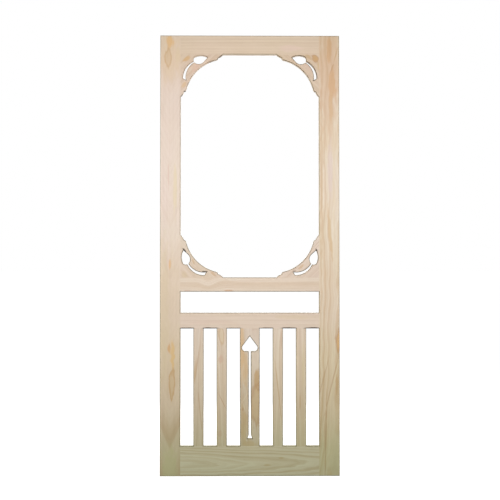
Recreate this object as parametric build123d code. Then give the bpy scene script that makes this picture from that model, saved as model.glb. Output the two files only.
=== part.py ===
from build123d import *
from math import asin, atan2, hypot, tan
import os

# Wooden screen door slab: a stile-and-rail frame of unfinished pine, 33 by 81 inches.
#
# Four rails are tenoned between two full-height stiles and leave three openings. The tall one at
# the top, the light, has a fretwork bracket in each corner, with a leaf and its stem cut through.
# The low band below it is open. The lowest opening is barred by four narrow slats and a wide one in
# the centre, pierced by a spade on a long stem. Brackets and slats are thinner than the frame and
# flush with its front. So the screen can pass behind them, in the rebate round each opening, where
# mitred beads hold its edges.
#
# The part is in millimetres, with +Z up, +X from the hinge edge to the latch edge and the front
# towards -Y. The origin is on the hinge edge, at the door's foot and in the middle of its thickness.

INCH = 25.4

# Slab
DOOR_WIDTH = 33 * INCH
DOOR_HEIGHT = 81 * INCH
FACE_THICKNESS = 3 / 4 * INCH  # brackets, slats, and the frame in front of the screen
REBATE_DEPTH = 3 / 8 * INCH  # rest of the frame's thickness, behind the screen
REBATE_WIDTH = 3 / 8 * INCH
ARRIS = 1 / 8 * INCH  # bevel that eases the edges of the front and of the outside

# Frame boards, by their width
STILE_WIDTH = 3.75 * INCH
TOP_RAIL_WIDTH = 3.5 * INCH
UPPER_LOCK_RAIL_WIDTH = 2.625 * INCH
LOWER_LOCK_RAIL_WIDTH = 2.875 * INCH
BOTTOM_RAIL_WIDTH = 5.5 * INCH

# Openings below the light, which takes the height that is left
SLAT_OPENING_HEIGHT = 21.5 * INCH
BAND_OPENING_HEIGHT = 3.875 * INCH

# Slats, evenly spaced, with the wide one in the middle
SLATS_EACH_SIDE = 2
SLAT_WIDTH = 1.875 * INCH
CENTRE_SLAT_WIDTH = 3.625 * INCH

# Blind mortise and tenon joints
RAIL_TENON_THICKNESS = 3 / 8 * INCH
RAIL_TENON_LENGTH = 2 * INCH
RAIL_SHOULDER_PAST_REBATE = 1 / 8 * INCH
SLAT_TENON_THICKNESS = 3 / 8 * INCH
SLAT_TENON_LENGTH = 1 / 2 * INCH
SLAT_TENON_SHOULDER = 1 / 4 * INCH
GLUE_GAP = 0.1  # on each side of a tenon
MORTISE_END_GAP = 0.8  # past the end of a tenon

# Mitred beads in the rebates
BEAD_FIT = 0.2  # between a bead and the side of its rebate
BEAD_ARRIS = 1 / 8 * INCH

# Corner bracket. Its outline runs from a pointed toe over a small heel into the arch, and is the
# same from either leg. Along is measured on the leg that the leaf follows, from the door's corner.
BRACKET_LEG = 199.0
TOE_RUN = 23.5
TOE_RISE = 15.5
TOE_BULGE = 2.0
HEEL_RUN = 9.3
HEEL_RISE = 10.8
ARCH_HOLLOW = 28.0  # depth of the arch below a straight line from heel to heel

# Leaf and stem of the bracket, on a pattern that is enlarged or reduced to suit the bracket's leg
PATTERN_LEG = 199.0
LEAF_START = 59.7
LEAF_MARGIN = 5.2
LEAF_LENGTH = 66.2
LEAF_WIDTH = 39.6
STEM_MARGIN = 10.5
STEM_DROP = 106.0
STEM_WIDTH = 12.6
STEM_SLANT = 7.5
STEM_HOLLOW = 13.4
STEM_STRAIGHT_END = 6.0

# Piercing of the centre slat: a spade on a long slot with a flared foot
SPADE_TOP_MARGIN = 1.4375 * INCH
SPADE_SIDE_MARGIN = 3 / 8 * INCH
SPADE_HEIGHT = 2.75 * INCH
SPADE_LOBE_RADIUS = 5 / 8 * INCH
STALK_WIDTH = 3 / 8 * INCH
FOOT_MARGIN = 1.375 * INCH
FOOT_FLARE = 1 / 4 * INCH
FOOT_HEIGHT = 5 / 8 * INCH

# Places that follow from the sizes
FRONT = -(FACE_THICKNESS + REBATE_DEPTH) / 2
SCREEN_PLANE = FRONT + FACE_THICKNESS
BACK = SCREEN_PLANE + REBATE_DEPTH
OPENING_LEFT = STILE_WIDTH
OPENING_RIGHT = DOOR_WIDTH - STILE_WIDTH
CENTRE_LINE = DOOR_WIDTH / 2
SLATS_BOTTOM = BOTTOM_RAIL_WIDTH
SLATS_TOP = SLATS_BOTTOM + SLAT_OPENING_HEIGHT
BAND_BOTTOM = SLATS_TOP + LOWER_LOCK_RAIL_WIDTH
BAND_TOP = BAND_BOTTOM + BAND_OPENING_HEIGHT
LIGHT_BOTTOM = BAND_TOP + UPPER_LOCK_RAIL_WIDTH
LIGHT_TOP = DOOR_HEIGHT - TOP_RAIL_WIDTH

OPENINGS = {
    "slats": (SLATS_BOTTOM, SLATS_TOP),
    "band": (BAND_BOTTOM, BAND_TOP),
    "light": (LIGHT_BOTTOM, LIGHT_TOP),
}
RAILS = {
    "bottom_rail": (0, SLATS_BOTTOM),
    "lower_lock_rail": (SLATS_TOP, BAND_BOTTOM),
    "upper_lock_rail": (BAND_TOP, LIGHT_BOTTOM),
    "top_rail": (LIGHT_TOP, DOOR_HEIGHT),
}


def rectangle(left, right, bottom, top):
    """A rectangle of the elevation, by its four sides."""
    return Pos((left + right) / 2, (bottom + top) / 2) * Rectangle(right - left, top - bottom)


def block(left, right, front, back, bottom, top):
    """A box, by its six sides."""
    middle = Pos((left + right) / 2, (front + back) / 2, (bottom + top) / 2)
    return middle * Box(right - left, back - front, top - bottom)


def stand_up(elevation, front, back):
    """Thicken an elevation, drawn in X and Y, into a solid that stands in X and Z."""
    return extrude(Plane.XZ.offset(-back) * elevation, amount=back - front, dir=(0, -1, 0))


def mirrored(shape):
    """The same on the hinge side of the door."""
    return mirror(shape, about=Plane.YZ.offset(CENTRE_LINE))


def bracket_outline():
    """One bracket with its corner at the origin, between legs along +X and +Y."""
    leg_end = (BRACKET_LEG, 0)
    toe = (BRACKET_LEG - TOE_RUN, TOE_RISE)
    heel = (toe[0] - HEEL_RUN, toe[1] + HEEL_RISE)
    leg_end_2, toe_2, heel_2 = leg_end[::-1], toe[::-1], heel[::-1]
    arch = SagittaArc(heel, heel_2, ARCH_HOLLOW)
    return make_face(
        [
            Line((0, 0), leg_end),
            SagittaArc(leg_end, toe, -TOE_BULGE),
            TangentArc(heel, toe, tangent=-(arch % 0)),
            arch,
            TangentArc(heel_2, toe_2, tangent=arch % 1),
            SagittaArc(toe_2, leg_end_2, -TOE_BULGE),
            Line(leg_end_2, (0, 0)),
        ]
    )


def on_leaf(along, across):
    """A point of the bracket's pattern, by its shares of the leaf's length and width."""
    return Vector(LEAF_START + along * LEAF_LENGTH, LEAF_MARGIN + across * LEAF_WIDTH)


def leaf():
    """The teardrop cut-out of the bracket's pattern, with its tip along +X."""
    tip, shoulder, heel = on_leaf(1, 0.21), on_leaf(0.07, 0.19), on_leaf(0.07, 0.82)
    belly = ThreePointArc(heel, on_leaf(0.33, 1), on_leaf(0.71, 0.76))
    return make_face(
        [
            ThreePointArc(tip, on_leaf(0.5, 0), shoulder),
            ThreePointArc(shoulder, on_leaf(0, 0.5), heel),
            belly,
            TangentArc(belly @ 1, tip, tangent=belly % 1),
        ]
    )


def stem():
    """The stem's cut-out of the bracket's pattern: a curved band that falls along +Y from the leaf."""
    bend_outside = Vector(STEM_MARGIN, STEM_DROP)
    bend_inside = bend_outside + Vector(STEM_WIDTH, STEM_SLANT)
    outside = SagittaArc(on_leaf(0.06, 0.64), bend_outside, STEM_HOLLOW)
    inside = SagittaArc(bend_inside, on_leaf(0.1, 0.77), -STEM_HOLLOW)
    end_outside = bend_outside + STEM_STRAIGHT_END * (outside % 1)
    end_inside = bend_inside - STEM_STRAIGHT_END * (inside % 0)
    return make_face(
        [
            outside,
            Line(bend_outside, end_outside),
            Line(end_outside, end_inside),
            Line(end_inside, bend_inside),
            inside,
            Line(inside @ 1, outside @ 0),
        ]
    )


def slat_piercing():
    """Spade, stalk and foot of the centre slat, in the door's elevation."""
    tip = SLATS_TOP - SPADE_TOP_MARGIN
    base = tip - SPADE_HEIGHT
    foot = SLATS_BOTTOM + FOOT_MARGIN
    lobe_out = CENTRE_SLAT_WIDTH / 2 - SPADE_SIDE_MARGIN - SPADE_LOBE_RADIUS
    lobe_down = SPADE_HEIGHT - SPADE_LOBE_RADIUS
    slope = atan2(lobe_out, lobe_down) + asin(SPADE_LOBE_RADIUS / hypot(lobe_out, lobe_down))
    corner = SPADE_HEIGHT * tan(slope)
    spade = Polygon((0, tip), (-corner, base), (corner, base), align=None)
    spade = fillet(spade.vertices().group_by(Axis.Y)[0], SPADE_LOBE_RADIUS)
    stalk = rectangle(-STALK_WIDTH / 2, STALK_WIDTH / 2, foot, base + SPADE_LOBE_RADIUS)
    toe = STALK_WIDTH / 2 + FOOT_FLARE
    neck = STALK_WIDTH / 2
    flare = Polygon(
        (-toe, foot), (toe, foot), (neck, foot + FOOT_HEIGHT), (-neck, foot + FOOT_HEIGHT), align=None
    )
    return Pos(CENTRE_LINE) * (spade + stalk + flare)


def slat_layout():
    """Name, left side and right side of each slat."""
    count = 2 * SLATS_EACH_SIDE + 1
    wood = 2 * SLATS_EACH_SIDE * SLAT_WIDTH + CENTRE_SLAT_WIDTH
    gap = (OPENING_RIGHT - OPENING_LEFT - wood) / (count + 1)
    layout = []
    left = OPENING_LEFT + gap
    for place in range(count):
        centre = place == SLATS_EACH_SIDE
        right = left + (CENTRE_SLAT_WIDTH if centre else SLAT_WIDTH)
        name = "centre_slat" if centre else f"slat_{place + 1}"
        layout.append((name, left, right))
        left = right + gap
    return layout


def corners(left, right, bottom, top):
    """The corners of a rectangle in turn, from the bottom left to the bottom right and on round."""
    return (left, bottom), (right, bottom), (right, top), (left, top)


def cut_through(elevation):
    """A cutter through the face layer that flares at the front, which bevels the arris."""
    flare_start = Plane.XZ.offset(-FRONT - ARRIS)
    flare = extrude(flare_start * elevation, amount=ARRIS, dir=(0, -1, 0), taper=-45)
    return stand_up(elevation, FRONT + ARRIS, SCREEN_PLANE) + flare


# The slab is shaped as one, as it is routed after glueing up, and then parted into its boards.
slab = block(0, DOOR_WIDTH, FRONT, BACK, 0, DOOR_HEIGHT)
outer_arrises = slab.edges().filter_by_position(Axis.Y, FRONT, FRONT)
outer_arrises += slab.edges().filter_by_position(Axis.Y, BACK, BACK)
slab = chamfer(outer_arrises, ARRIS)

for bottom, top in OPENINGS.values():
    rebate_left, rebate_right = OPENING_LEFT - REBATE_WIDTH, OPENING_RIGHT + REBATE_WIDTH
    rebate_bottom, rebate_top = bottom - REBATE_WIDTH, top + REBATE_WIDTH
    slab -= block(rebate_left, rebate_right, SCREEN_PLANE, BACK, rebate_bottom, rebate_top)

upper_corner = Pos(OPENING_RIGHT, LIGHT_TOP) * Rot(0, 0, 180)
lower_corner = Pos(OPENING_RIGHT, LIGHT_BOTTOM) * Rot(0, 0, 90)
light = rectangle(OPENING_LEFT, OPENING_RIGHT, LIGHT_BOTTOM, LIGHT_TOP)
for corner in (upper_corner, lower_corner):
    outline = corner * bracket_outline()
    light -= outline
    light -= mirrored(outline)
slab -= cut_through(light)
for corner in (upper_corner, lower_corner):
    for cut_out in (leaf(), stem()):
        cutter = cut_through(corner * scale(cut_out, by=BRACKET_LEG / PATTERN_LEG))
        slab -= cutter
        slab -= mirrored(cutter)
slab -= cut_through(rectangle(OPENING_LEFT, OPENING_RIGHT, BAND_BOTTOM, BAND_TOP))

gap_left = OPENING_LEFT
for _, left, right in slat_layout():
    slab -= cut_through(rectangle(gap_left, left, SLATS_BOTTOM, SLATS_TOP))
    gap_left = right
slab -= cut_through(rectangle(gap_left, OPENING_RIGHT, SLATS_BOTTOM, SLATS_TOP))
slab -= cut_through(slat_piercing())

parts = {}

# Brackets, glued into the light's corners and flush with the front
for height, bottom in (("upper", LIGHT_TOP - BRACKET_LEG), ("lower", LIGHT_BOTTOM)):
    left = OPENING_RIGHT - BRACKET_LEG
    bracket = slab & block(left, OPENING_RIGHT, FRONT, SCREEN_PLANE, bottom, bottom + BRACKET_LEG)
    parts[f"{height}_latch_bracket"] = bracket
    parts[f"{height}_hinge_bracket"] = mirrored(bracket)

# Rails and stiles. A rail's tenon lies in front of the plane of the screen, clear of the rebates.
tenon_back = SCREEN_PLANE
tenon_front = tenon_back - RAIL_TENON_THICKNESS
shoulder = REBATE_WIDTH + RAIL_SHOULDER_PAST_REBATE
latch_stile = slab & block(OPENING_RIGHT, DOOR_WIDTH, FRONT, BACK, 0, DOOR_HEIGHT)
rails = {}
for name, (bottom, top) in RAILS.items():
    rail = slab & block(OPENING_LEFT, OPENING_RIGHT, FRONT, BACK, bottom, top)
    tenons = block(
        OPENING_LEFT - RAIL_TENON_LENGTH,
        OPENING_RIGHT + RAIL_TENON_LENGTH,
        tenon_front,
        tenon_back,
        bottom + shoulder,
        top - shoulder,
    )
    tenons -= block(OPENING_LEFT, OPENING_RIGHT, FRONT, BACK, bottom, top)
    rails[name] = rail + tenons
    latch_stile -= block(
        OPENING_RIGHT,
        OPENING_RIGHT + RAIL_TENON_LENGTH + MORTISE_END_GAP,
        tenon_front - GLUE_GAP,
        tenon_back + GLUE_GAP,
        bottom + shoulder - GLUE_GAP,
        top - shoulder + GLUE_GAP,
    )
parts["latch_stile"] = latch_stile
parts["hinge_stile"] = mirrored(latch_stile)

# Slats, with a stub tenon at each end
face_middle = (FRONT + SCREEN_PLANE) / 2
stub_front = face_middle - SLAT_TENON_THICKNESS / 2
stub_back = face_middle + SLAT_TENON_THICKNESS / 2
for name, left, right in slat_layout():
    slat = slab & block(left, right, FRONT, SCREEN_PLANE, SLATS_BOTTOM, SLATS_TOP)
    stub_left, stub_right = left + SLAT_TENON_SHOULDER, right - SLAT_TENON_SHOULDER
    for end, outwards, rail in ((SLATS_BOTTOM, -1, "bottom_rail"), (SLATS_TOP, 1, "lower_lock_rail")):
        stub_end = end + outwards * SLAT_TENON_LENGTH
        mortise_end = stub_end + outwards * MORTISE_END_GAP
        slat += block(stub_left, stub_right, stub_front, stub_back, min(end, stub_end), max(end, stub_end))
        rails[rail] -= block(
            stub_left - GLUE_GAP,
            stub_right + GLUE_GAP,
            stub_front - GLUE_GAP,
            stub_back + GLUE_GAP,
            min(end, mortise_end),
            max(end, mortise_end),
        )
    parts[name] = slat
parts.update(rails)

# Beads, a mitred frame of four in each rebate
for opening, (bottom, top) in OPENINGS.items():
    reach = REBATE_WIDTH - BEAD_FIT
    outside = (OPENING_LEFT - reach, OPENING_RIGHT + reach, bottom - reach, top + reach)
    inside = (OPENING_LEFT, OPENING_RIGHT, bottom, top)
    frame = stand_up(rectangle(*outside) - rectangle(*inside), SCREEN_PLANE, BACK)
    inner_arrises = frame.faces().sort_by(Axis.Y)[-1].inner_wires()[0].edges()
    frame = chamfer(inner_arrises, BEAD_ARRIS)
    outer, inner = corners(*outside), corners(*inside)
    next_outer, next_inner = outer[1:] + outer[:1], inner[1:] + inner[:1]
    sides = ("bottom", "latch", "top", "hinge")
    for side, *mitred in zip(sides, outer, next_outer, next_inner, inner):
        region = stand_up(Polygon(*mitred, align=None), SCREEN_PLANE, BACK)
        parts[f"{opening}_bead_{side}"] = frame & region

os.makedirs("parts", exist_ok=True)
for name, solid in parts.items():
    solid.label = name
    export_step(solid, f"parts/{name}.step")
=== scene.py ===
import math

import bmesh
import bpy
from mathutils import Matrix, Vector


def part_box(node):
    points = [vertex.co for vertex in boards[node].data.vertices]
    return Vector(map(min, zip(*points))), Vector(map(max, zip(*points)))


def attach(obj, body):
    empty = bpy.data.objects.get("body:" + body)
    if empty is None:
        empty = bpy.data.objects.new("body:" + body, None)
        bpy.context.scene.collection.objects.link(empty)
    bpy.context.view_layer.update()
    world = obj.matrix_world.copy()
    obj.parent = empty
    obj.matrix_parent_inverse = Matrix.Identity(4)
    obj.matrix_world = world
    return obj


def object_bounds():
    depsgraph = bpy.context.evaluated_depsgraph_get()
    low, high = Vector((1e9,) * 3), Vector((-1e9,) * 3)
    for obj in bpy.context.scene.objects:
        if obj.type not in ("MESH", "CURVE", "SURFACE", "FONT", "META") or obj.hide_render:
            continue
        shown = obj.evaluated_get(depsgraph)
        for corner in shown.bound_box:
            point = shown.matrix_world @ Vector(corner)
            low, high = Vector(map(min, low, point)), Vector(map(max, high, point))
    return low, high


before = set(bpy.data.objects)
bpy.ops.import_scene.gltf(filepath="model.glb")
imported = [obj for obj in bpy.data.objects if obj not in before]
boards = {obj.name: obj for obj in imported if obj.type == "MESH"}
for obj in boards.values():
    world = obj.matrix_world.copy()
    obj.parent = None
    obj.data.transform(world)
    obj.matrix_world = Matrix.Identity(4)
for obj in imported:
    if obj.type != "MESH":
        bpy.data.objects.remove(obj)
cad_low, cad_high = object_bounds()


# Stiles: the two full-height boards at the edges, planed pine left bare, with the grain upright.
# The hinge stile is pale and nearly plain down to a pointed arch of grain at its foot, and the
# latch stile is browner, with wavy bands and resin stains.

def linear(red, green, blue):
    """A colour read from 0 to 255 as light, for a shader's socket."""
    return tuple(
        value / 255 / 12.92 if value <= 10 else ((value / 255 + 0.055) / 1.055) ** 2.4
        for value in (red, green, blue)
    ) + (1.0,)


class Nodes:
    """Adds nodes to a node tree, taking numbers, colours or other nodes' sockets as inputs."""

    def __init__(self, tree):
        self.tree = tree

    def plug(self, value, socket):
        if isinstance(value, bpy.types.NodeSocket):
            self.tree.links.new(value, socket)
        else:
            socket.default_value = value

    def add(self, kind, inputs=(), **settings):
        node = self.tree.nodes.new(kind)
        for name, value in settings.items():
            setattr(node, name, value)
        for place, value in dict(inputs).items():
            self.plug(value, node.inputs[place])
        return node

    def math(self, operation, *values):
        return self.add("ShaderNodeMath", dict(enumerate(values)), operation=operation).outputs[0]

    def product(self, first, *others):
        for other in others:
            first = self.math("MULTIPLY", first, other)
        return first

    def total(self, first, *others):
        for other in others:
            first = self.math("ADD", first, other)
        return first

    def swing(self, value, reach):
        """A value that runs from 0 to 1, as one that runs from minus half the reach to plus half."""
        return self.product(self.math("SUBTRACT", value, 0.5), reach)

    def between(self, value, low, high):
        """0 at low and 1 at high, with soft ends."""
        inputs = {0: value, 1: low, 2: high}
        return self.add("ShaderNodeMapRange", inputs, interpolation_type="SMOOTHSTEP").outputs[0]

    def inverse(self, value):
        return self.math("SUBTRACT", 1.0, value)

    def length(self, *sides):
        return self.math("SQRT", self.total(*(self.product(side, side) for side in sides)))

    def mix(self, factor, first, second, blend="MIX"):
        node = self.add("ShaderNodeMix", data_type="RGBA", blend_type=blend)
        for place, value in ((0, factor), (6, first), (7, second)):
            self.plug(value, node.inputs[place])
        return node.outputs[2]

    def vector(self, operation, first, second):
        return self.add("ShaderNodeVectorMath", {0: first, 1: second}, operation=operation).outputs[0]

    def apart(self, vector):
        return self.add("ShaderNodeSeparateXYZ", {0: vector}).outputs

    def noise(self, vector, grain, seed, detail=2.0, roughness=0.5, output=0):
        """Noise with so many grains per metre across, deep and along the board."""
        place = self.vector("MULTIPLY", vector, grain)
        inputs = {"Vector": place, "W": seed, "Scale": 1.0, "Detail": detail, "Roughness": roughness}
        return self.add("ShaderNodeTexNoise", inputs, noise_dimensions="4D").outputs[output]

    def run(self, value, seed):
        """Noise along one value alone."""
        inputs = {"W": self.total(value, seed), "Scale": 1.0, "Detail": 1.0}
        return self.add("ShaderNodeTexNoise", inputs, noise_dimensions="1D").outputs[0]

    def group(self, group, **inputs):
        node = self.tree.nodes.new("ShaderNodeGroup")
        node.node_tree = group
        for name, value in inputs.items():
            self.plug(value, node.inputs[name.replace("_", " ").capitalize()])
        return node.outputs


def shared_effect(name, vectors, values, outputs):
    """An empty node group. Returns it, its nodes, its inputs by name and a function that plugs an output."""
    group = bpy.data.node_groups.new(name, "ShaderNodeTree")
    for socket in vectors:
        group.interface.new_socket(socket, in_out="INPUT", socket_type="NodeSocketVector")
    for socket in values:
        group.interface.new_socket(socket, in_out="INPUT", socket_type="NodeSocketFloat")
    for socket, kind in outputs.items():
        group.interface.new_socket(socket, in_out="OUTPUT", socket_type=kind)
    start, end = group.nodes.new("NodeGroupInput"), group.nodes.new("NodeGroupOutput")

    def put_out(socket, value):
        group.links.new(value, end.inputs[socket])

    return group, Nodes(group), {socket: start.outputs[socket] for socket in (*vectors, *values)}, put_out


# Annual rings of the log that the board is sawn from: cones round a pith line that leans and
# wanders, since a trunk tapers. Where the face cuts them at a slant they show as the pointed arches
# of flat-sawn pine. A line is one year's late wood, and a band is a spell of several browner years.
# Each GRAIN is how many grains of a noise there are per metre across, deep and along the board.
DRIFT_GRAIN = (1.0, 1.0, 2.4)
RIPPLE_GRAIN = (22.0, 22.0, 3.4)
BEND_GRAIN = (5.0, 5.0, 6.5)
SHIVER_GRAIN = (70.0, 70.0, 14.0)
SHIVER = 0.15  # of the ripple
BEND_SEED = 40.0  # added to the board's own
UNEVEN_YEARS = {"pace": 0.4, "reach": 1.0}  # how fast and how far the gaps change
UNEVEN_SPELLS = {"pace": 0.9, "reach": 1.1}
LATE_WOOD, YEAR_END = (0.15, 0.86), (0.9, 1.0)  # parts of a year
BROWNING, SPELL_END = (0.1, 0.82), (0.86, 1.0)  # parts of a spell

rings, nodes, given, put_out = shared_effect(
    "annual_rings",
    ("Grain",),
    (
        "Pith across", "Pith depth", "Lean", "Ring gap", "Wander", "Spell",
        "Phase", "Sway", "Ripple", "Taper", "Seed",
    ),
    {"Line": "NodeSocketFloat", "Year tone": "NodeSocketFloat", "Band": "NodeSocketFloat"},
)
across, depth, along = nodes.apart(given["Grain"])
slow = nodes.add("ShaderNodeCombineXYZ", {0: 0.5, 1: 0.5, 2: along}).outputs[0]
drift = nodes.apart(nodes.noise(slow, DRIFT_GRAIN, given["Seed"], roughness=0.55, output=1))
side = nodes.math("SUBTRACT", across, given["Pith across"])
side = nodes.math("SUBTRACT", side, nodes.swing(drift[0], given["Wander"]))
pith_depth = nodes.total(given["Pith depth"], nodes.product(given["Lean"], along))
rise = nodes.math("SUBTRACT", depth, pith_depth)
rise = nodes.math("SUBTRACT", rise, nodes.swing(drift[1], given["Wander"]))
ripple = nodes.noise(given["Grain"], RIPPLE_GRAIN, given["Seed"], detail=2.5, roughness=0.55)
bend = nodes.noise(given["Grain"], BEND_GRAIN, nodes.total(given["Seed"], BEND_SEED), roughness=0.6)
shiver = nodes.noise(given["Grain"], SHIVER_GRAIN, given["Seed"])
waviness = nodes.product(given["Ring gap"], given["Ripple"])
radius = nodes.total(nodes.length(side, rise), nodes.product(along, given["Taper"], -1.0))
radius = nodes.total(radius, nodes.swing(ripple, waviness))
radius = nodes.total(radius, nodes.swing(shiver, nodes.product(waviness, SHIVER)))
radius = nodes.total(radius, nodes.swing(bend, given["Sway"]))


def counted(gap, uneven):
    """The radius counted in gaps, which are crowded in some places and wide in others."""
    count = nodes.total(nodes.math("DIVIDE", radius, gap), given["Phase"])
    crowd = nodes.run(nodes.product(count, uneven["pace"]), given["Seed"])
    return nodes.total(count, nodes.swing(crowd, uneven["reach"]))


years = counted(given["Ring gap"], UNEVEN_YEARS)
year = nodes.math("FLOOR", years)
season = nodes.math("SUBTRACT", years, year)
late = nodes.between(season, *LATE_WOOD)
put_out("Line", nodes.product(late, nodes.inverse(nodes.between(season, *YEAR_END))))
chance = nodes.add("ShaderNodeTexWhiteNoise", {"W": nodes.total(year, given["Seed"])}, noise_dimensions="1D")
put_out("Year tone", chance.outputs[0])
spell = nodes.math("FRACT", counted(given["Spell"], UNEVEN_SPELLS))
brown = nodes.between(spell, *BROWNING)
put_out("Band", nodes.product(brown, nodes.inverse(nodes.between(spell, *SPELL_END))))

# Fibres, pores, the soft mottle and the blush of planed pine, which all run with the grain. Ragged
# is the fray and the lumps of a local mark's edge.
FINE_GRAIN, BROAD_GRAIN, FINE_SHARE = (900.0, 900.0, 14.0), (170.0, 170.0, 3.5), 0.45
PORE_GRAIN, PORE_EDGE = (1500.0, 1500.0, 60.0), (0.64, 0.76)
MOTTLE_GRAIN = (45.0, 45.0, 9.0)
BLUSH_GRAIN, BLUSH_EDGE = (12.0, 12.0, 2.6), (0.36, 0.64)
FRAY_GRAIN, FRAY = (220.0, 220.0, 20.0), 0.9
LUMP_GRAIN, LUMP = (60.0, 60.0, 20.0), 1.3

fibres, nodes, given, put_out = shared_effect(
    "pine_fibres",
    ("Grain",),
    ("Seed",),
    {socket: "NodeSocketFloat" for socket in ("Fibre", "Pores", "Mottle", "Blush", "Ragged")},
)


def wood_noise(grain, detail, roughness=0.5):
    """Noise that runs with this board's grain."""
    return nodes.noise(given["Grain"], grain, given["Seed"], detail, roughness)


fine = nodes.product(wood_noise(FINE_GRAIN, 3.0, 0.6), FINE_SHARE)
broad = nodes.product(wood_noise(BROAD_GRAIN, 3.0, 0.6), 1.0 - FINE_SHARE)
put_out("Fibre", nodes.total(fine, broad))
put_out("Pores", nodes.between(wood_noise(PORE_GRAIN, 1.0), *PORE_EDGE))
put_out("Mottle", wood_noise(MOTTLE_GRAIN, 3.0, 0.6))
put_out("Blush", nodes.between(wood_noise(BLUSH_GRAIN, 2.0), *BLUSH_EDGE))
fray = nodes.swing(wood_noise(FRAY_GRAIN, 4.0, 0.7), FRAY)
put_out("Ragged", nodes.total(fray, nodes.swing(wood_noise(LUMP_GRAIN, 1.0), LUMP)))

# A local mark: a resin stain, a small knot, a burn, a stray streak, or a line or spot of painted shade, long
# the way that it lies and ragged at its edge. The patch is all of it, and the rim its outline.
WAVES = 26.0  # sideways, per metre along
PATCH_EDGE = (0.55, 1.15)
RIM_START, RIM_END = (0.5, 0.85), (0.9, 1.2)

mark, nodes, given, put_out = shared_effect(
    "grain_mark",
    ("Place", "Middle", "Lie"),
    ("Half width", "Half length", "Waver", "Ragged", "Seed"),
    {"Patch": "NodeSocketFloat", "Rim": "NodeSocketFloat"},
)
lying = {"Vector": given["Place"], "Location": given["Middle"], "Rotation": given["Lie"]}
across, depth, along = nodes.apart(nodes.add("ShaderNodeMapping", lying, vector_type="TEXTURE").outputs[0])
wave = nodes.swing(nodes.run(nodes.product(along, WAVES), given["Seed"]), given["Waver"])
across = nodes.math("DIVIDE", nodes.total(across, wave), given["Half width"])
along = nodes.math("DIVIDE", along, given["Half length"])
reach = nodes.total(nodes.length(across, along), given["Ragged"])
put_out("Patch", nodes.inverse(nodes.between(reach, *PATCH_EDGE)))
outline = nodes.between(reach, *RIM_START)
put_out("Rim", nodes.product(outline, nodes.inverse(nodes.between(reach, *RIM_END))))

# A swirl pushes the grain aside, as round a knot that the saw just missed.
swirl, nodes, given, put_out = shared_effect(
    "grain_swirl", ("Place", "Middle"), ("Half width", "Half height", "Push"), {"Shift": "NodeSocketFloat"},
)
off = nodes.apart(nodes.vector("SUBTRACT", given["Place"], given["Middle"]))
width = nodes.math("DIVIDE", off[0], given["Half width"])
height = nodes.math("DIVIDE", off[2], given["Half height"])
spread = nodes.total(nodes.product(width, width), nodes.product(height, height))
near = nodes.math("EXPONENT", nodes.product(spread, -1.0))
put_out("Shift", nodes.product(near, given["Push"], -1.0))

# Weather and painted shade: the bare wood is palest above its middle, darker and tanned at the head, and
# darker and green-grey by the sill. This is partly weathering and partly painted shade, where the light
# falls off towards the head and the foot.
WEATHER_AND_SHADE_GRAIN = (5.0, 5.0, 2.2)
WEATHER_AND_SHADE_PATCHES = 0.10  # metres that a tone is carried up or down
TINT_AND_SHADE_BY_HEIGHT = (
    (0.03, (0.56, 0.62, 0.45)),
    (0.14, (0.58, 0.62, 0.45)),
    (0.33, (0.72, 0.71, 0.575)),
    (0.54, (0.83, 0.815, 0.705)),
    (0.73, (0.89, 0.87, 0.82)),
    (0.93, (0.925, 0.90, 0.845)),
    (1.13, (0.96, 0.965, 0.945)),
    (1.30, (0.98, 0.98, 0.98)),
    (1.50, (0.97, 0.97, 0.97)),
    (1.75, (0.93, 0.92, 0.91)),
    (1.93, (0.89, 0.85, 0.79)),
    (2.05, (0.84, 0.81, 0.73)),
)

weather_and_shade, nodes, given, put_out = shared_effect(
    "porch_weather_and_shade", ("Place",), ("Seed",), {"Tint": "NodeSocketColor"},
)
patchy = nodes.noise(given["Place"], WEATHER_AND_SHADE_GRAIN, given["Seed"], detail=3.0)
height = nodes.total(nodes.apart(given["Place"])[2], nodes.swing(patchy, WEATHER_AND_SHADE_PATCHES))
ramp = nodes.add("ShaderNodeValToRGB", {0: nodes.math("DIVIDE", height, cad_high[2])})
stops = ramp.color_ramp.elements
stops.remove(stops[1])
for number, (metres, tint) in enumerate(TINT_AND_SHADE_BY_HEIGHT):
    stop = stops[0] if number == 0 else stops.new(metres / cad_high[2])
    stop.position = metres / cad_high[2]
    stop.color = tint + (1.0,)
put_out("Tint", ramp.outputs[0])

# Eased arrises: every eased edge is a little darker and greyer, those that face down get painted shade, and
# a fretted edge is singed here and there where the cutter dwelt. An arris is known by its facing, at a slant
# between the board's face and its side.
OFF_THE_SIDE, OFF_THE_FACE = (0.1, 0.4), (0.85, 0.97)
UNDERSIDE = (0.15, 0.6)
SINGE_GRAIN, SINGE_EDGE = (85.0, 85.0, 85.0), (0.46, 0.58)

arrises, nodes, given, put_out = shared_effect(
    "eased_arris",
    ("Facing", "Place"),
    ("Seed",),
    {"On arris": "NodeSocketFloat", "Shaded underside": "NodeSocketFloat", "Singed": "NodeSocketFloat"},
)
facing = nodes.apart(given["Facing"])
slant = nodes.math("ABSOLUTE", facing[1])
on_arris = nodes.product(nodes.between(slant, *OFF_THE_SIDE), nodes.inverse(nodes.between(slant, *OFF_THE_FACE)))
put_out("On arris", on_arris)
# Painted shade on the arrises that face down, standing in for the shade beneath them.
downward = nodes.between(nodes.product(facing[2], -1.0), *UNDERSIDE)
put_out("Shaded underside", nodes.product(on_arris, downward))
dwelt = nodes.noise(given["Place"], SINGE_GRAIN, given["Seed"], detail=3.0, roughness=0.6)
put_out("Singed", nodes.product(on_arris, nodes.between(dwelt, *SINGE_EDGE)))

UPRIGHT, LEVEL = 0.0, -math.pi / 2


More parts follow.
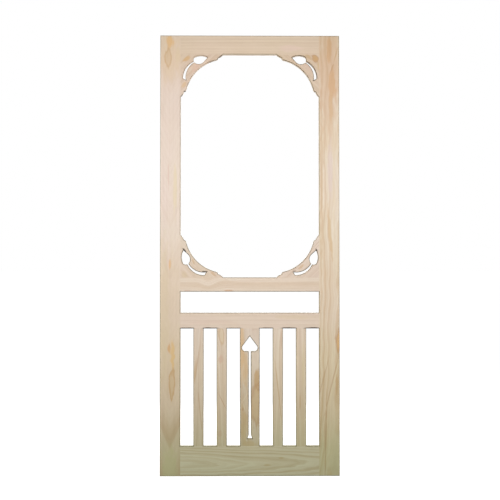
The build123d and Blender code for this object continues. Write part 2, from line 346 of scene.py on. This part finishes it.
def stain_or_shade_mark(x, z, half_width, half_length, tone, amount, lie=UPRIGHT, waver=0.0, rim=None, rim_amount=0.0):
    """A mark at x, z on the door's face, in metres, long with the direction that it lies in."""
    return {
        "place": (x, 0.0, z), "half_width": half_width, "half_length": half_length, "tone": tone,
        "amount": amount, "lie": lie, "waver": waver, "rim": rim, "rim_amount": rim_amount,
    }


CREAM, BLUSH, DARKER_EDGE = linear(234, 217, 200), linear(238, 218, 208), linear(176, 178, 158)
TAN, GOLD, AMBER = linear(225, 200, 170), linear(231, 199, 163), linear(214, 180, 141)
STRAW, ROSE, RUST = linear(232, 213, 184), linear(226, 197, 181), linear(196, 152, 116)
# The scorch tone is painted shade on downward arrises, over the slots and at the brackets' cut tips, and
# also the real singe where the cutter dwelt.
UMBER, SHADE_AND_SCORCH = linear(150, 112, 78), linear(36, 25, 19)

USUAL_RIPPLE = 2.0  # ring gaps that a line wavers by
PALEST_YEAR = 0.45  # added to each year's own tone, from 0 to 1
FADED_LINE = 0.12  # of a line's strength, where the board's lines fade out
FIBRE_TONE, MOTTLE_TONE, PORE_TONE = 0.35, 0.25, 0.2
MARK_DEPTH = 0.036  # metres in from the front, where a mark has shrunk to nothing
MARK_SEED = 3.1  # from one mark to the next
LIT, GROWN_SHADE, FIBRE_SHADE = 1.03, -0.07, -0.16
PLANED, WAXY_LINE, SHEEN = 0.74, 0.5, 0.3  # roughness, what late wood takes off it, and specular
FIBRE_RELIEF, PORE_RELIEF = 0.6, -0.5
RELIEF, RELIEF_HEIGHT = 0.35, 0.0004  # the bump's strength, and its height in metres


def pine(
    node, turn, pale, warm, log, seed, bands=0.4, lines=0.2, blush=0.4, faded_above=None,
    stains_and_shade=(), swirls=(), edge_darkening=0.75, underside_shade=0.3, singe=0.0,
):
    """Bare pine for one board, with its grain turned from upright and its own log, its stains, its marks of
    painted shade and its swirls.

    A swirl is its x, z, half width and half height on the door's face, and its push sideways.
    """
    material = bpy.data.materials.new(f"{node}_pine")
    material.use_nodes = True
    nodes = Nodes(material.node_tree)
    surface = material.node_tree.nodes["Principled BSDF"]
    low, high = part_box(node)
    texture = nodes.add("ShaderNodeTexCoord").outputs
    place = texture["Object"]
    turned = {"Vector": place, "Location": tuple((low + high) / 2), "Rotation": (0.0, turn, 0.0)}
    grain = nodes.add("ShaderNodeMapping", turned, vector_type="TEXTURE").outputs[0]
    for x, z, half_width, half_height, push in swirls:
        shift = nodes.group(
            swirl, place=place, middle=(x, 0.0, z), half_width=half_width, half_height=half_height, push=push
        )["Shift"]
        grain = nodes.vector("ADD", grain, nodes.add("ShaderNodeCombineXYZ", {0: shift}).outputs[0])
    ring = nodes.group(rings, grain=grain, seed=seed, **{"ripple": USUAL_RIPPLE, **log})
    fibre = nodes.group(fibres, grain=grain, seed=seed)
    line = nodes.product(ring["Line"], nodes.total(PALEST_YEAR, ring["Year tone"]), lines)
    if faded_above:
        kept = nodes.inverse(nodes.between(nodes.apart(place)[2], *faded_above))
        line = nodes.product(line, nodes.total(FADED_LINE, nodes.product(kept, 1.0 - FADED_LINE)))
    fibre_tone = nodes.swing(fibre["Fibre"], FIBRE_TONE)
    mottle_tone = nodes.swing(fibre["Mottle"], MOTTLE_TONE)
    grown = nodes.total(nodes.product(ring["Band"], bands), line, fibre_tone, mottle_tone)
    grown = nodes.add("ShaderNodeClamp", {0: grown}).outputs[0]
    colour = nodes.mix(nodes.product(fibre["Blush"], blush), pale, BLUSH)
    colour = nodes.mix(grown, colour, warm)
    inward = nodes.math("DIVIDE", nodes.math("SUBTRACT", nodes.apart(place)[1], low.y), MARK_DEPTH)
    ragged = nodes.total(fibre["Ragged"], nodes.product(inward, inward))
    for number, spot in enumerate(stains_and_shade):
        parts = nodes.group(
            mark, place=place, middle=spot["place"], lie=(0.0, spot["lie"], 0.0),
            half_width=spot["half_width"], half_length=spot["half_length"], waver=spot["waver"],
            ragged=ragged, seed=seed + MARK_SEED * number,
        )
        colour = nodes.mix(nodes.product(parts["Patch"], spot["amount"]), colour, spot["tone"])
        if spot["rim"]:
            colour = nodes.mix(nodes.product(parts["Rim"], spot["rim_amount"]), colour, spot["rim"])
    shade = nodes.total(LIT, nodes.product(grown, GROWN_SHADE), nodes.swing(fibre["Fibre"], FIBRE_SHADE))
    colour = nodes.mix(1.0, colour, shade, "MULTIPLY")
    colour = nodes.mix(nodes.product(fibre["Pores"], PORE_TONE), colour, UMBER)
    # The tint by height, partly weathering and partly painted shade that darkens the head and the foot.
    colour = nodes.mix(1.0, colour, nodes.group(weather_and_shade, place=place, seed=seed)["Tint"], "MULTIPLY")
    arris = nodes.group(arrises, facing=texture["Normal"], place=place, seed=seed)
    # Every arris is made a little darker and greyer.
    darkened_edge = nodes.mix(1.0, colour, DARKER_EDGE, "MULTIPLY")
    colour = nodes.mix(nodes.product(arris["On arris"], edge_darkening), colour, darkened_edge)
    # Painted shade on the downward arrises, in the scorch tone.
    colour = nodes.mix(nodes.product(arris["Shaded underside"], underside_shade), colour, SHADE_AND_SCORCH)
    colour = nodes.mix(nodes.product(arris["Singed"], singe), colour, SHADE_AND_SCORCH)
    nodes.plug(colour, surface.inputs["Base Color"])
    roughness = nodes.math("SUBTRACT", PLANED, nodes.product(line, WAXY_LINE))
    nodes.plug(roughness, surface.inputs["Roughness"])
    surface.inputs["Specular IOR Level"].default_value = SHEEN
    fibre_relief = nodes.product(fibre["Fibre"], FIBRE_RELIEF)
    pore_relief = nodes.product(fibre["Pores"], PORE_RELIEF)
    height = nodes.total(line, fibre_relief, pore_relief)
    bump = nodes.add("ShaderNodeBump", {"Height": height, "Strength": RELIEF, "Distance": RELIEF_HEIGHT})
    nodes.plug(bump.outputs[0], surface.inputs["Normal"])
    boards[node].data.materials.clear()
    boards[node].data.materials.append(material)


pine(
    "hinge_stile", UPRIGHT, linear(236, 219, 203), linear(208, 172, 140), seed=3.0,
    bands=0.06, lines=0.45, blush=0.5, faded_above=(0.20, 0.34),
    log=dict(
        pith_across=0.0, pith_depth=-0.011, lean=0.0, taper=0.42, ring_gap=0.086, wander=0.003, spell=0.02,
        phase=0.52, ripple=0.06,
    ),
    stains_and_shade=(
        stain_or_shade_mark(0.0450, 1.950, 0.060, 0.120, linear(232, 206, 166), 0.35),
        stain_or_shade_mark(0.0450, 2.030, 0.019, 0.032, linear(236, 200, 156), 1.0),
        stain_or_shade_mark(0.0360, 1.990, 0.006, 0.030, GOLD, 0.7),
        stain_or_shade_mark(0.0370, 1.950, 0.017, 0.040, TAN, 0.8, rim=AMBER, rim_amount=0.6),
        stain_or_shade_mark(0.0830, 1.975, 0.013, 0.060, STRAW, 0.6),
        stain_or_shade_mark(0.0390, 1.400, 0.004, 0.070, linear(222, 188, 172), 0.45, waver=0.005),
        stain_or_shade_mark(0.0700, 1.330, 0.010, 0.130, linear(232, 214, 178), 0.6, waver=0.006),
        stain_or_shade_mark(0.0450, 0.984, 0.007, 0.028, linear(234, 192, 148), 0.9),
        stain_or_shade_mark(0.0150, 0.800, 0.030, 0.330, linear(228, 212, 178), 0.4),
        stain_or_shade_mark(0.0500, 0.700, 0.070, 0.360, linear(226, 206, 176), 0.3),
        stain_or_shade_mark(0.0440, 0.595, 0.009, 0.024, linear(226, 180, 132), 0.8),
        stain_or_shade_mark(0.0590, 0.570, 0.012, 0.080, linear(236, 202, 152), 0.85, waver=0.012),
        stain_or_shade_mark(0.0570, 0.433, 0.014, 0.062, TAN, 0.8, rim=linear(212, 168, 122), rim_amount=0.6),
        stain_or_shade_mark(0.0480, 0.030, 0.040, 0.110, linear(226, 214, 184), 0.7),
    ),
)
pine(
    "latch_stile", UPRIGHT, linear(238, 224, 204), linear(216, 181, 140), seed=11.0,
    bands=0.34, lines=0.22, blush=0.2,
    log=dict(
        pith_across=0.070, pith_depth=0.130, lean=0.0, ring_gap=0.0052, wander=0.030, spell=0.0125,
        phase=0.15, sway=0.009,
    ),
    swirls=(
        (0.786, -0.050, 0.300, 0.300, -0.050),
        (0.838, 0.632, 0.030, 0.060, -0.012),
        (0.800, 1.880, 0.050, 0.080, 0.008),
    ),
    stains_and_shade=(
        stain_or_shade_mark(0.7560, 1.400, 0.007, 0.480, AMBER, 0.5, waver=0.006),
        stain_or_shade_mark(0.7900, 1.900, 0.060, 0.330, linear(224, 190, 160), 0.55),
        stain_or_shade_mark(0.8000, 1.580, 0.050, 0.100, linear(228, 200, 166), 0.35),
        stain_or_shade_mark(0.7910, 1.995, 0.012, 0.075, linear(222, 182, 142), 0.7, waver=0.004),
        stain_or_shade_mark(0.8220, 1.965, 0.004, 0.045, AMBER, 0.6, lie=0.28, waver=0.004),
        stain_or_shade_mark(0.8030, 1.900, 0.004, 0.030, RUST, 0.5, lie=0.35),
        stain_or_shade_mark(0.8050, 1.825, 0.021, 0.080, linear(224, 186, 148), 0.9, waver=0.008),
        stain_or_shade_mark(0.7990, 1.720, 0.010, 0.080, linear(224, 190, 152), 0.8, waver=0.006),
        stain_or_shade_mark(0.7950, 1.430, 0.013, 0.150, linear(230, 210, 202), 0.6, waver=0.006),
        stain_or_shade_mark(0.7940, 1.125, 0.008, 0.140, linear(222, 190, 150), 0.7, lie=-0.09, waver=0.005),
        stain_or_shade_mark(0.8140, 1.350, 0.006, 0.300, STRAW, 0.5, waver=0.008),
        stain_or_shade_mark(0.8370, 0.632, 0.018, 0.052, linear(230, 188, 138), 0.9, rim=RUST, rim_amount=0.5),
        stain_or_shade_mark(0.8250, 0.425, 0.008, 0.055, AMBER, 0.6, waver=0.004),
        stain_or_shade_mark(0.8090, 0.420, 0.004, 0.130, linear(240, 226, 200), 0.7, lie=0.22),
        stain_or_shade_mark(0.8000, 0.420, 0.0035, 0.150, RUST, 0.42, lie=0.24),
        stain_or_shade_mark(0.7620, 0.450, 0.0035, 0.110, RUST, 0.35, lie=0.26),
        stain_or_shade_mark(0.7800, 0.200, 0.004, 0.170, linear(240, 226, 200), 0.6, lie=0.05),
        stain_or_shade_mark(0.7735, 0.180, 0.0035, 0.190, RUST, 0.5, lie=0.02),
        stain_or_shade_mark(0.8200, 0.090, 0.028, 0.150, linear(230, 216, 194), 0.75),
    ),
)


# Rails: four cross boards, tenoned between the stiles and glued, with level grain. The top rail is
# rift-sawn with fine straight lines, and the bottom rail flat-sawn with arches that point to the latch.

pine(
    "top_rail", LEVEL, linear(237, 220, 202), linear(214, 184, 154), seed=21.0,
    bands=0.14, lines=0.22, blush=0.3, underside_shade=0.0,
    log=dict(
        pith_across=-0.160, pith_depth=0.020, lean=0.010, ring_gap=0.0042, wander=0.006, spell=0.022,
        phase=0.0,
    ),
    stains_and_shade=(stain_or_shade_mark(0.6100, 1.998, 0.018, 0.060, linear(240, 217, 207), 0.7, lie=LEVEL),),
)
pine(
    "upper_lock_rail", LEVEL, linear(243, 230, 218), linear(223, 197, 169), seed=31.0,
    bands=0.36, lines=0.36,
    log=dict(
        pith_across=-0.200, pith_depth=0.060, lean=0.012, ring_gap=0.0050, wander=0.010, spell=0.050,
        phase=0.68,
    ),
    swirls=((0.224, 0.893, 0.035, 0.030, -0.018), (0.306, 0.900, 0.040, 0.030, 0.007)),
    stains_and_shade=(
        stain_or_shade_mark(0.3220, 0.862, 0.005, 0.024, linear(220, 178, 146), 0.8, lie=LEVEL),
        stain_or_shade_mark(0.1280, 0.862, 0.004, 0.020, ROSE, 0.8, lie=LEVEL),
        stain_or_shade_mark(0.3500, 0.915, 0.006, 0.060, linear(240, 228, 214), 0.7, lie=LEVEL),
    ),
)
# Painted shadow over each slot, a dark line on the rail's lower edge: its middle across, its half length and
# its strength.
SHADOW_OVER_THE_SLOTS = (
    (0.1320, 0.038, 0.90),
    (0.2341, 0.040, 0.85),
    (0.3426, 0.038, 0.45),
    (0.4955, 0.038, 0.60),
    (0.6040, 0.040, 0.95),
    (0.7125, 0.040, 1.00),
)
pine(
    "lower_lock_rail", LEVEL, linear(240, 223, 209), linear(218, 191, 166), seed=41.0,
    bands=0.16, lines=0.16,
    log=dict(
        pith_across=-0.120, pith_depth=0.020, lean=0.0, ring_gap=0.0040, wander=0.006, spell=0.020,
        phase=0.4,
    ),
    # Strong painted shade on this rail's downward arrises, over the slots.
    underside_shade=0.95,
    stains_and_shade=(
        stain_or_shade_mark(0.2600, 0.714, 0.012, 0.120, ROSE, 0.25, lie=LEVEL),
        stain_or_shade_mark(0.6400, 0.738, 0.012, 0.110, STRAW, 0.45, lie=LEVEL),
        *(stain_or_shade_mark(x, 0.687, 0.005, length, SHADE_AND_SCORCH, amount, lie=LEVEL) for x, length, amount in SHADOW_OVER_THE_SLOTS),
    ),
)
pine(
    "bottom_rail", LEVEL, linear(247, 234, 225), linear(214, 186, 158), seed=51.0,
    bands=0.15, lines=0.42, blush=0.2,
    log=dict(
        pith_across=-0.008, pith_depth=0.036, lean=-0.040, ring_gap=0.0095, wander=0.010, spell=0.0048,
        phase=0.45,
    ),
    stains_and_shade=(
        stain_or_shade_mark(0.5000, 0.052, 0.006, 0.020, AMBER, 0.5, lie=LEVEL),
        stain_or_shade_mark(0.5640, 0.084, 0.004, 0.014, AMBER, 0.5, lie=LEVEL),
    ),
)


# Slats: four narrow strips and a wide pierced one, each let into the rails by a stub tenon at
# either end. They are sawn from different boards, so each has its own grain.

SLAT_LOG = dict(pith_depth=0.05, lean=0.03, ring_gap=0.0045, wander=0.02, spell=0.016)
pine(
    "slat_1", UPRIGHT, linear(239, 225, 214), linear(214, 183, 156), seed=61.0,
    bands=0.22, lines=0.18,
    log=dict(SLAT_LOG, pith_across=0.05, phase=0.0),
    stains_and_shade=(
        stain_or_shade_mark(0.1740, 0.520, 0.003, 0.095, RUST, 0.45, lie=0.13),
        stain_or_shade_mark(0.1640, 0.480, 0.006, 0.060, AMBER, 0.5, lie=0.10),
        stain_or_shade_mark(0.1860, 0.320, 0.0025, 0.100, RUST, 0.4, lie=-0.10),
    ),
)
pine(
    "slat_2", UPRIGHT, linear(238, 223, 211), linear(214, 184, 154), seed=71.0,
    bands=0.22, lines=0.20,
    log=dict(SLAT_LOG, pith_across=-0.03, phase=0.3),
    stains_and_shade=(
        stain_or_shade_mark(0.2870, 0.650, 0.013, 0.040, STRAW, 0.6, rim=AMBER, rim_amount=0.5),
        stain_or_shade_mark(0.2850, 0.540, 0.017, 0.022, ROSE, 0.8),
        stain_or_shade_mark(0.2900, 0.350, 0.0025, 0.040, RUST, 0.5, lie=-0.45),
        stain_or_shade_mark(0.2800, 0.200, 0.010, 0.018, ROSE, 0.6),
    ),
)
pine(
    "centre_slat", UPRIGHT, linear(237, 225, 215), linear(211, 178, 147), seed=101.0,
    bands=0.26, lines=0.20, singe=0.5,
    log=dict(
        pith_across=0.02, pith_depth=0.05, lean=-0.03, ring_gap=0.0055, wander=0.03, spell=0.018,
        phase=0.1,
    ),
    stains_and_shade=(
        stain_or_shade_mark(0.3840, 0.600, 0.011, 0.190, GOLD, 0.9),
        stain_or_shade_mark(0.3980, 0.500, 0.015, 0.075, GOLD, 0.75),
        stain_or_shade_mark(0.3920, 0.230, 0.016, 0.100, TAN, 0.85),
        stain_or_shade_mark(0.3920, 0.310, 0.025, 0.130, AMBER, 0.25),
        stain_or_shade_mark(0.4000, 0.370, 0.003, 0.035, linear(238, 222, 206), 0.8, lie=0.55),
        stain_or_shade_mark(0.3930, 0.320, 0.003, 0.022, linear(238, 222, 206), 0.8, lie=-0.25),
        stain_or_shade_mark(0.3870, 0.310, 0.004, 0.009, RUST, 0.5),
        stain_or_shade_mark(0.4520, 0.440, 0.017, 0.055, AMBER, 0.85),
        stain_or_shade_mark(0.4590, 0.425, 0.006, 0.012, RUST, 0.5),
        stain_or_shade_mark(0.4460, 0.330, 0.022, 0.095, TAN, 0.85, rim=RUST, rim_amount=0.45),
        stain_or_shade_mark(0.4200, 0.150, 0.035, 0.018, TAN, 0.7),
    ),
)
pine(
    "slat_4", UPRIGHT, linear(243, 229, 216), linear(216, 186, 160), seed=81.0,
    bands=0.22, lines=0.18,
    log=dict(SLAT_LOG, pith_across=0.04, phase=0.6),
    stains_and_shade=(
        stain_or_shade_mark(0.5650, 0.640, 0.0025, 0.060, RUST, 0.4),
        stain_or_shade_mark(0.5500, 0.410, 0.003, 0.150, AMBER, 0.6, lie=-0.11),
    ),
)
pine(
    "slat_5", UPRIGHT, linear(240, 225, 208), linear(214, 184, 153), seed=91.0,
    bands=0.20, lines=0.18,
    log=dict(SLAT_LOG, pith_across=-0.05, phase=0.8),
    stains_and_shade=(
        stain_or_shade_mark(0.6690, 0.520, 0.004, 0.120, STRAW, 0.7),
        stain_or_shade_mark(0.6530, 0.350, 0.004, 0.050, AMBER, 0.6),
    ),
)


# Corner brackets: fretsawn from thin board with the grain across the corner, eased by hand and
# glued into the light flush with the front.

ACROSS_CORNER = math.pi / 4
BRACKET_LOG = dict(pith_depth=0.04, lean=0.04, ring_gap=0.0045, wander=0.02, spell=0.02)
pine(
    "upper_hinge_bracket", ACROSS_CORNER, linear(231, 213, 195), linear(209, 175, 142), seed=111.0,
    bands=0.2, lines=0.18, edge_darkening=0.35, underside_shade=0.0, singe=0.12,
    log=dict(BRACKET_LOG, pith_across=0.03, phase=0.2),
    stains_and_shade=(
        stain_or_shade_mark(0.1200, 1.946, 0.010, 0.026, linear(224, 188, 144), 0.9, lie=0.9),
        stain_or_shade_mark(0.1600, 1.905, 0.014, 0.030, linear(233, 204, 186), 0.85, lie=0.75),
        stain_or_shade_mark(0.1110, 1.826, 0.010, 0.018, GOLD, 0.8, lie=0.5),
        # Painted shade at the tips and ends of the cut-outs, in the scorch tone.
        stain_or_shade_mark(0.2780, 1.9550, 0.0035, 0.020, SHADE_AND_SCORCH, 0.65, lie=0.8),
        stain_or_shade_mark(0.2400, 1.9355, 0.0030, 0.026, SHADE_AND_SCORCH, 0.5, lie=1.29),
        stain_or_shade_mark(0.1325, 1.8310, 0.0030, 0.014, SHADE_AND_SCORCH, 0.6, lie=0.36),
        stain_or_shade_mark(0.1160, 1.7945, 0.0035, 0.007, SHADE_AND_SCORCH, 0.8, lie=LEVEL),
        stain_or_shade_mark(0.1035, 1.7765, 0.0030, 0.011, SHADE_AND_SCORCH, 0.6, lie=0.78),
    ),
)
pine(
    "upper_latch_bracket", -ACROSS_CORNER, linear(228, 210, 187), linear(209, 178, 144), seed=121.0,
    bands=0.22, lines=0.18, singe=0.5,
    log=dict(BRACKET_LOG, pith_across=-0.03, phase=0.5),
    stains_and_shade=(
        stain_or_shade_mark(0.7250, 1.952, 0.013, 0.019, linear(216, 180, 136), 1.0, lie=-0.7, rim=RUST, rim_amount=0.45),
        stain_or_shade_mark(0.6900, 1.960, 0.010, 0.030, linear(214, 186, 150), 0.7, lie=-0.9),
        stain_or_shade_mark(0.6850, 1.912, 0.012, 0.040, linear(232, 208, 192), 0.8, lie=-0.75),
        stain_or_shade_mark(0.7440, 1.912, 0.009, 0.026, linear(222, 194, 154), 0.8),
        stain_or_shade_mark(0.7440, 1.856, 0.008, 0.018, ROSE, 0.6),
        # Painted shade at the tips and ends of the cut-outs, in the scorch tone.
        stain_or_shade_mark(0.7030, 1.9225, 0.0030, 0.020, SHADE_AND_SCORCH, 0.35, lie=-0.85),
        stain_or_shade_mark(0.7290, 1.8830, 0.0030, 0.022, SHADE_AND_SCORCH, 0.35, lie=-0.35),
        stain_or_shade_mark(0.7210, 1.8480, 0.0030, 0.009, SHADE_AND_SCORCH, 0.5, lie=LEVEL),
    ),
)
pine(
    "lower_hinge_bracket", -ACROSS_CORNER, linear(232, 215, 198), linear(208, 177, 143), seed=131.0,
    bands=0.12, lines=0.14, underside_shade=0.6, singe=0.25,
    log=dict(BRACKET_LOG, pith_across=0.02, phase=0.7),
    stains_and_shade=(
        stain_or_shade_mark(0.1560, 0.997, 0.005, 0.015, AMBER, 0.6, lie=-0.4),
        stain_or_shade_mark(0.1150, 0.936, 0.014, 0.022, linear(222, 202, 170), 0.6, lie=-0.7),
        stain_or_shade_mark(0.2500, 0.940, 0.006, 0.018, AMBER, 0.6, lie=-0.9),
        # Painted shade at the tips and ends of the cut-outs, in the scorch tone.
        stain_or_shade_mark(0.1140, 1.0505, 0.0035, 0.012, SHADE_AND_SCORCH, 0.85, lie=-0.75),
        stain_or_shade_mark(0.2095, 0.9508, 0.0035, 0.014, SHADE_AND_SCORCH, 0.7, lie=LEVEL),
    ),
)
pine(
    "lower_latch_bracket", ACROSS_CORNER, linear(236, 221, 208), linear(208, 175, 145), seed=141.0,
    bands=0.14, lines=0.3, underside_shade=0.6, singe=0.25,
    log=dict(BRACKET_LOG, pith_across=-0.02, phase=0.9),
    stains_and_shade=(
        stain_or_shade_mark(0.6590, 0.973, 0.006, 0.018, AMBER, 0.6, lie=0.8),
        # Painted shade at the tips and ends of the cut-outs, in the scorch tone.
        stain_or_shade_mark(0.7305, 1.0520, 0.0040, 0.007, SHADE_AND_SCORCH, 0.75, lie=-0.6),
        stain_or_shade_mark(0.6280, 0.9535, 0.0030, 0.009, SHADE_AND_SCORCH, 0.3, lie=LEVEL),
    ),
)


# Beads: square strips, mitred round the back of each opening over the screen's edge, and held by
# brads. The heads are punched in, and each hole is filled with a dab of putty.

BRAD_FILLING = 0.0012  # radius
BRAD_EDGE = 0.0030  # from the bead's outer edge
BRAD_END = 0.035  # from the bead's end
BRAD_PITCH = 0.150
PUTTY_PROUD = 0.0001
PUTTY_DEPTH = 0.0010
PUTTY_ROUND = 0.00008
TOWARDS_BACK = Matrix.Rotation(math.pi / 2, 4, "X")
BEAD_SEED, BEAD_SEED_STEP = 200.0, 7.0
BEAD_LOG = dict(pith_across=0.03, pith_depth=0.03, lean=0.01, ring_gap=0.004, wander=0.01, spell=0.015)

bead_names = [name for name in sorted(boards) if "_bead_" in name]
form = bmesh.new()
for name in bead_names:
    low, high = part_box(name)
    level = name.endswith(("top", "bottom"))
    first, last = (low.x, high.x) if level else (low.z, high.z)
    edge = {
        "top": high.z - BRAD_EDGE, "bottom": low.z + BRAD_EDGE,
        "hinge": low.x + BRAD_EDGE, "latch": high.x - BRAD_EDGE,
    }[name.rsplit("_", 1)[1]]
    run = last - first - 2 * BRAD_END
    gaps = max(1, round(run / BRAD_PITCH))
    depth = high.y + PUTTY_PROUD - PUTTY_DEPTH / 2
    for step in range(gaps + 1):
        spot = first + BRAD_END + run * step / gaps
        place = Vector((spot, depth, edge) if level else (edge, depth, spot))
        bmesh.ops.create_cone(
            form, cap_ends=True, segments=14, radius1=BRAD_FILLING, radius2=BRAD_FILLING, depth=PUTTY_DEPTH,
            matrix=Matrix.Translation(place) @ TOWARDS_BACK,
        )
rims = [edge for edge in form.edges if all(corner.co.y > cad_high[1] for corner in edge.verts)]
bmesh.ops.bevel(form, geom=rims, offset=PUTTY_ROUND, affect="EDGES", segments=2, profile=0.5, material=-1)
bmesh.ops.recalc_face_normals(form, faces=form.faces)
mesh = bpy.data.meshes.new("brad_fillings")
form.to_mesh(mesh)
form.free()
fillings = bpy.data.objects.new("brad_fillings", mesh)
bpy.context.scene.collection.objects.link(fillings)
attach(fillings, "root")

GRIT_GRAIN, AGE_GRAIN, AGE_EDGE = (2600.0, 2600.0, 2600.0), (14.0, 14.0, 14.0), (0.35, 0.65)
GRIT_SEED, AGE_SEED = 301.0, 307.0
FRESH, AGED = linear(204, 172, 132), linear(186, 150, 108)
GRIT_TONE, CHALKY, GRIT_DULL = 0.5, 0.6, 0.2
GRIT_RELIEF, GRIT_HEIGHT = 0.4, 0.0001

putty = bpy.data.materials.new("putty")
putty.use_nodes = True
mesh.materials.append(putty)
nodes = Nodes(putty.node_tree)
surface = putty.node_tree.nodes["Principled BSDF"]
place = nodes.add("ShaderNodeTexCoord").outputs["Object"]
grit = nodes.noise(place, GRIT_GRAIN, GRIT_SEED, detail=3.0)
age = nodes.noise(place, AGE_GRAIN, AGE_SEED, detail=1.0)
colour = nodes.mix(nodes.between(age, *AGE_EDGE), FRESH, AGED)
colour = nodes.mix(nodes.product(grit, GRIT_TONE), colour, UMBER)
nodes.plug(colour, surface.inputs["Base Color"])
nodes.plug(nodes.total(CHALKY, nodes.product(grit, GRIT_DULL)), surface.inputs["Roughness"])
bump = nodes.add("ShaderNodeBump", {"Height": grit, "Strength": GRIT_RELIEF, "Distance": GRIT_HEIGHT})
nodes.plug(bump.outputs[0], surface.inputs["Normal"])

for number, name in enumerate(bead_names):
    level = name.endswith(("top", "bottom"))
    pine(
        name, LEVEL if level else UPRIGHT, CREAM, linear(210, 178, 144),
        seed=BEAD_SEED + BEAD_SEED_STEP * number, bands=0.2, log=dict(BEAD_LOG, phase=0.2 * number),
    )


# Studio: a pale floor that the door stands on, a soft panel before it, one behind and a weaker one
# at either side, and the photographer's view from a few paces back at waist height.

FLOOR_REACH = 600  # metres each way, past the edge of any view
FLOOR_GREY, FLOOR_GLOW, AIR_LIGHT = 0.6, 0.87, 0.25
WHITE = (1.0, 1.0, 1.0, 1.0)

mesh = bpy.data.meshes.new("floor")
form = bmesh.new()
bmesh.ops.create_grid(form, x_segments=1, y_segments=1, size=FLOOR_REACH)
form.to_mesh(mesh)
form.free()
floor = bpy.data.objects.new("floor", mesh)
bpy.context.scene.collection.objects.link(floor)


def seen_directly(nodes):
    """1 for the rays that carry the background to the eye, straight, mirrored or through glass."""
    paths = nodes.add("ShaderNodeLightPath").outputs
    mirrored = nodes.math("MAXIMUM", paths["Is Glossy Ray"], paths["Is Transmission Ray"])
    return nodes.math("MAXIMUM", paths["Is Camera Ray"], mirrored)


plain = bpy.data.materials.new("floor_white")
plain.use_nodes = True
plain.node_tree.nodes.clear()
mesh.materials.append(plain)
nodes = Nodes(plain.node_tree)
grey = (FLOOR_GREY, FLOOR_GREY, FLOOR_GREY, 1.0)
matt = nodes.add("ShaderNodeBsdfDiffuse", {"Color": grey}).outputs[0]
glow = nodes.add("ShaderNodeEmission", {"Color": WHITE, "Strength": FLOOR_GLOW}).outputs[0]
bright = nodes.add("ShaderNodeAddShader", {0: matt, 1: glow}).outputs[0]
blend = nodes.add("ShaderNodeMixShader", {0: seen_directly(nodes), 1: matt, 2: bright}).outputs[0]
nodes.add("ShaderNodeOutputMaterial", {"Surface": blend})

world = bpy.data.worlds.new("studio")
bpy.context.scene.world = world
world.use_nodes = True
world.node_tree.nodes.clear()
nodes = Nodes(world.node_tree)
air = nodes.add("ShaderNodeBackground", {"Color": WHITE, "Strength": AIR_LIGHT}).outputs[0]
white = nodes.add("ShaderNodeBackground", {"Color": WHITE, "Strength": 1.0}).outputs[0]
blend = nodes.add("ShaderNodeMixShader", {0: seen_directly(nodes), 1: air, 2: white}).outputs[0]
nodes.add("ShaderNodeOutputWorld", {"Surface": blend})

LIT_SPOT = Vector((0.42, 0.0, 1.4))
for name, spot, size, watts in (
    ("front_panel", (0.34, -2.45, 1.72), 1.5, 45.5),
    ("back_panel", (0.60, 2.45, 1.72), 1.5, 45.5),
    ("hinge_side_panel", (-2.20, 0.0, 1.60), 1.0, 24.0),
    ("latch_side_panel", (3.04, 0.0, 1.60), 1.0, 24.0),
):
    lamp = bpy.data.lights.new(name, "AREA")
    lamp.size = size
    lamp.energy = watts
    holder = bpy.data.objects.new(name, lamp)
    holder.location = spot
    holder.rotation_euler = (LIT_SPOT - Vector(spot)).to_track_quat("-Z", "Y").to_euler()
    holder.visible_camera = False
    bpy.context.scene.collection.objects.link(holder)

VIEWPOINT = (0.3642, -4.6815, 0.9577)
LOOKING_UP, LOOKING_RIGHT = math.radians(1.155), math.radians(0.684)
lens = bpy.data.cameras.new("camera")
lens.lens = 72.0
lens.sensor_width = 36.0
camera = bpy.data.objects.new("camera", lens)
camera.location = VIEWPOINT
camera.rotation_euler = (math.pi / 2 + LOOKING_UP, 0.0, -LOOKING_RIGHT)
bpy.context.scene.collection.objects.link(camera)
bpy.context.scene.camera = camera
bpy.context.scene.view_settings.view_transform = "Standard"
